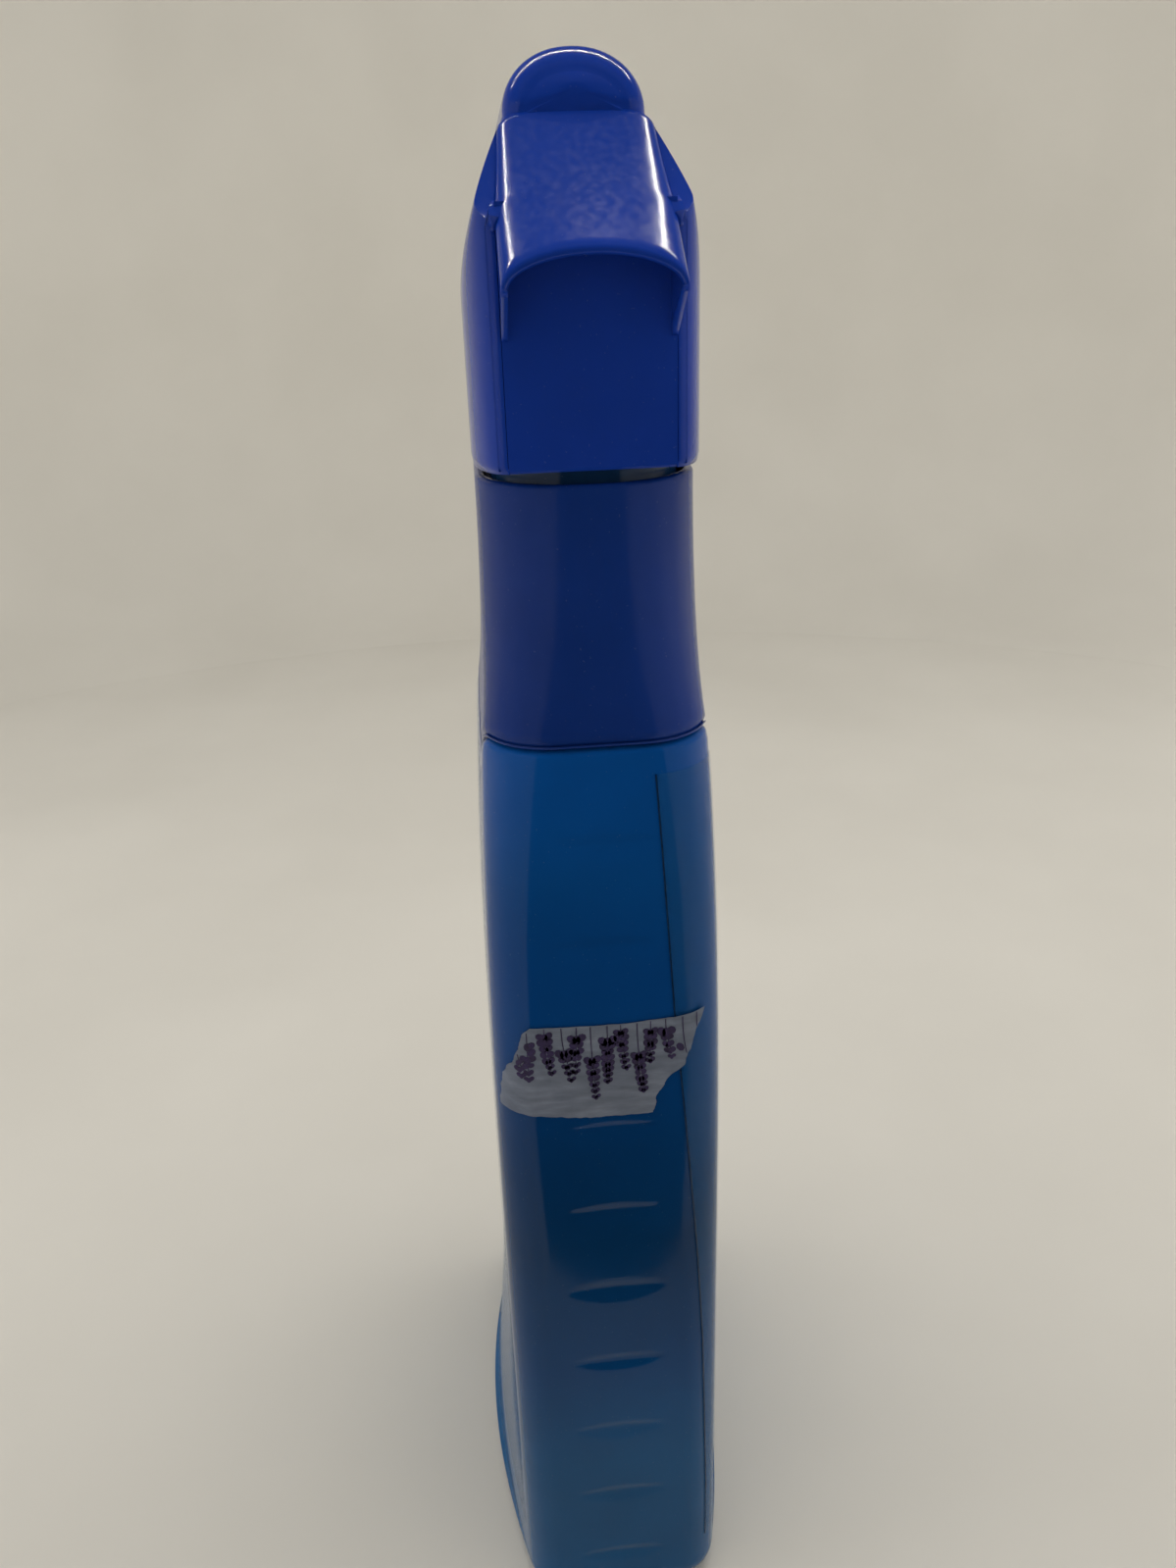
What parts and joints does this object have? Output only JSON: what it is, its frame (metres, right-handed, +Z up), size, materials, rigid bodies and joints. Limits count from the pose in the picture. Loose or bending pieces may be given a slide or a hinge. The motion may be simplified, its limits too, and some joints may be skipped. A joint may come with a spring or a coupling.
{
  "type": "trigger spray bottle",
  "caption": "Tall flat-sided translucent bottle with a dark blue collar and a trigger spray head that pumps liquid through a dip tube and a turning nozzle.",
  "frame": {"origin": "centre of the object's box on the surface it stands on, in its plane of symmetry", "axes": "+Z up, +X the way it sprays, +Y towards its left label face"},
  "size_m": [0.118, 0.056, 0.3085],
  "materials": {
    "bottle_plastic": "gloss, translucent, blow moulded",
    "head_plastic": "gloss, injection moulded",
    "natural_plastic": "satin, natural",
    "tube_plastic": "satin, milky",
    "piston_plastic": "satin",
    "gasket_foam": "matt, closed foam",
    "steel": "bright stainless",
    "label_film": "gloss, clear film",
    "tape_paper": "matt, thin washi paper"
  },
  "bodies": {
    "bottle": {"bottle": "bottle_plastic", "left_label": "label_film", "right_label": "label_film", "tape_strip": "tape_paper"},
    "sprayer": {"collar": "head_plastic", "closure": "natural_plastic", "neck_gasket": "gasket_foam", "tube_retainer": "natural_plastic", "dip_tube": "tube_plastic", "pump_body": "natural_plastic", "return_spring": "steel", "outlet_spring": "steel", "spinner": "natural_plastic", "shroud": "head_plastic", "rear_cover": "head_plastic"},
    "trigger": {"trigger": "head_plastic"},
    "piston": {"piston": "piston_plastic"},
    "nozzle": {"nozzle_cap": "head_plastic"},
    "inlet_ball": {"inlet_ball": "steel"},
    "outlet_valve": {"outlet_valve": "natural_plastic"}
  },
  "joints": [
    {"name": "sprayer_lift", "type": "slide", "parent": "bottle", "child": "sprayer", "axis": [0, 0, 1], "range_m": [0, 0.236]},
    {"name": "trigger_pull", "type": "hinge", "parent": "sprayer", "child": "trigger", "pos_m": [0.015, 0, 0.2867], "axis": [0, 1, 0], "range_deg": [0, 23.7], "stiffness_Nm_per_rad": 0.15, "springref_deg": -8.59},
    {"name": "piston_slide", "type": "slide", "parent": "sprayer", "child": "piston", "axis": [-1, 0, 0], "range_m": [0, 0.00625], "deforming": ["return_spring"]},
    {"name": "nozzle_turn", "type": "hinge", "parent": "sprayer", "child": "nozzle", "pos_m": [0.023, 0, 0.2965], "axis": [1, 0, 0], "continuous": true},
    {"name": "inlet_lift", "type": "slide", "parent": "sprayer", "child": "inlet_ball", "axis": [0, 0, 1], "range_m": [0, 0.002]},
    {"name": "outlet_lift", "type": "slide", "parent": "sprayer", "child": "outlet_valve", "axis": [1, 0, 0], "range_m": [0, 0.0012], "stiffness_N_per_m": 120, "springref_m": -0.002, "deforming": ["outlet_spring"]}
  ],
  "couplings": [
    {"joint": "piston_slide", "follows": "trigger_pull", "m_per_rad": 0.015}
  ]
}
